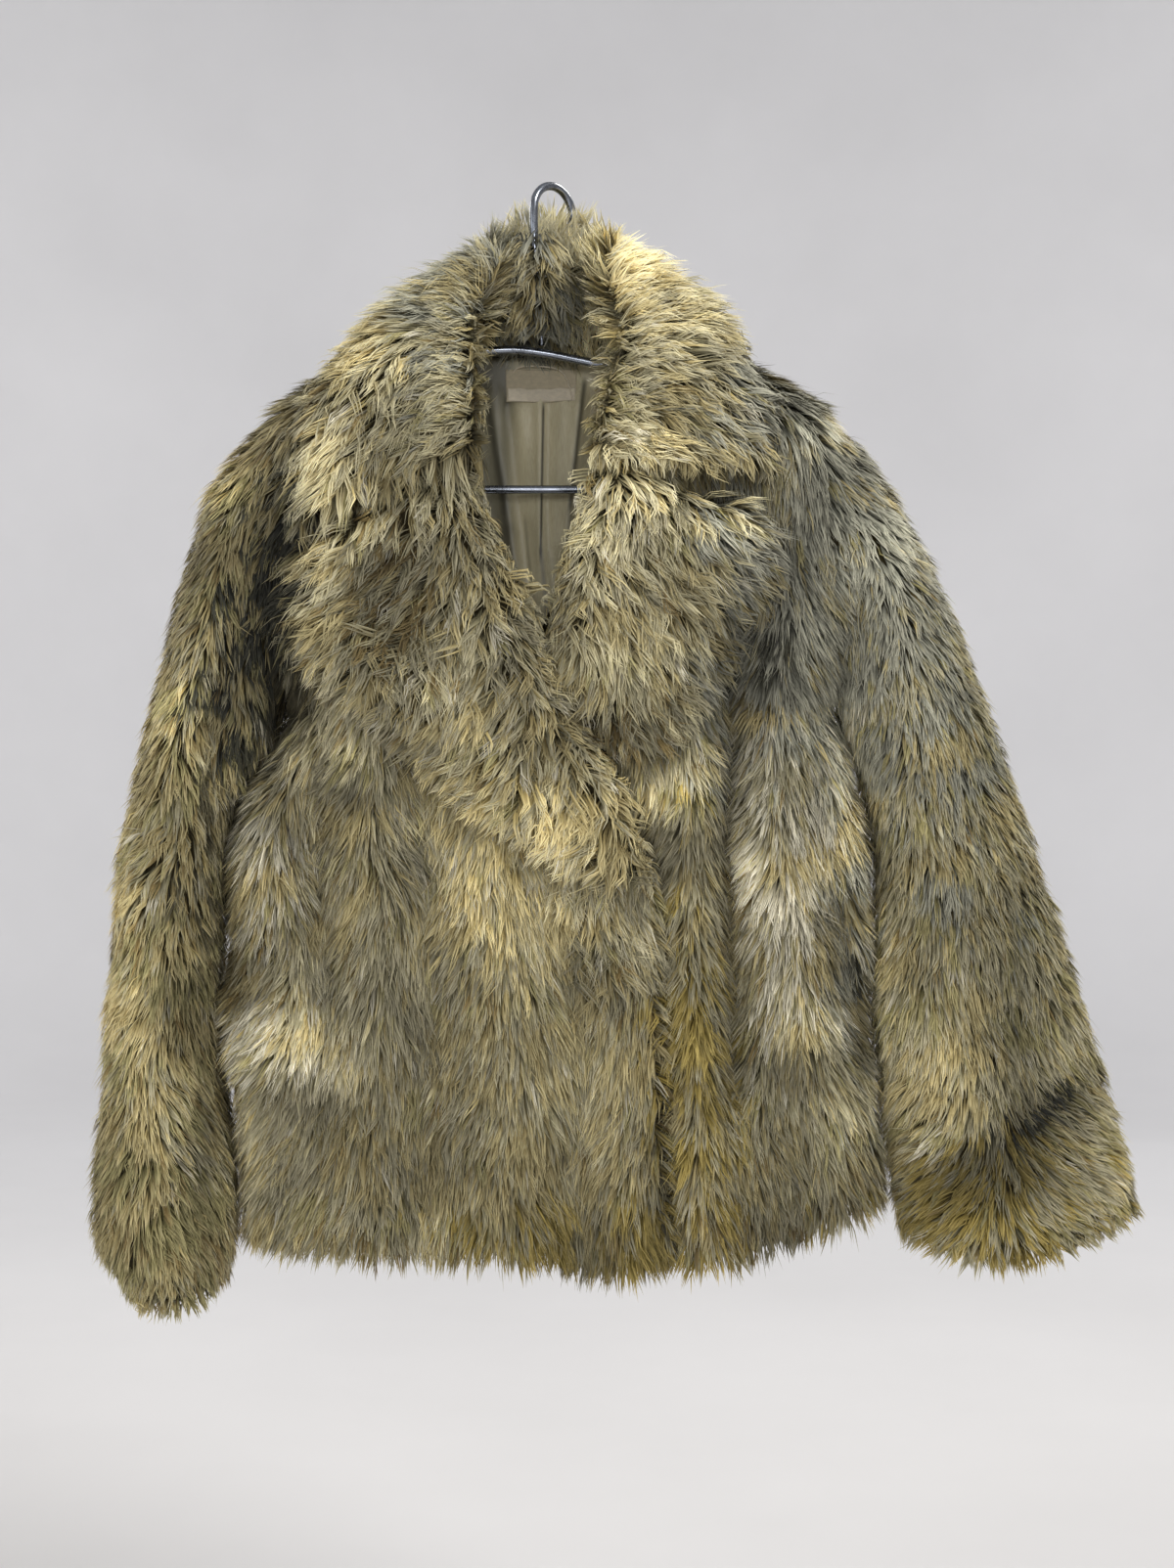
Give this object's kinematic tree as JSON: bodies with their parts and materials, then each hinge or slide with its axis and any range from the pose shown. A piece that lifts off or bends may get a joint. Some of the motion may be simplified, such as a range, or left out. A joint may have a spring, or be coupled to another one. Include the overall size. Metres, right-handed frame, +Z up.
{
  "type": "faux fur coat on a hanger",
  "caption": "Short open-necked faux fur coat with a notched collar and wide lapels, long-pile olive fur over a satin lining, hanging on a steel wire hanger with a hook.",
  "frame": {"origin": "inside top of the hanger's hook, where a rail or peg carries it", "axes": "+Z up, -Y the coat's front, +X to the viewer's right when the front is seen"},
  "size_m": [0.759, 0.1687, 0.8144],
  "materials": {
    "fur": "long olive and golden pile, paler at the tips",
    "lining": "khaki satin",
    "label_tape": "woven tape, blank",
    "hanger_steel": "dark polished wire"
  },
  "bodies": {
    "root": {"back": "fur", "front_left": "fur", "front_right": "fur", "lapel_left": "fur", "lapel_right": "fur", "collar": "fur", "sleeve_left": "fur", "sleeve_right": "fur", "lining_back": "lining", "label": "label_tape", "hanger_hook": "hanger_steel", "hanger_shoulders": "hanger_steel", "hanger_bar": "hanger_steel"}
  },
  "joints": []
}
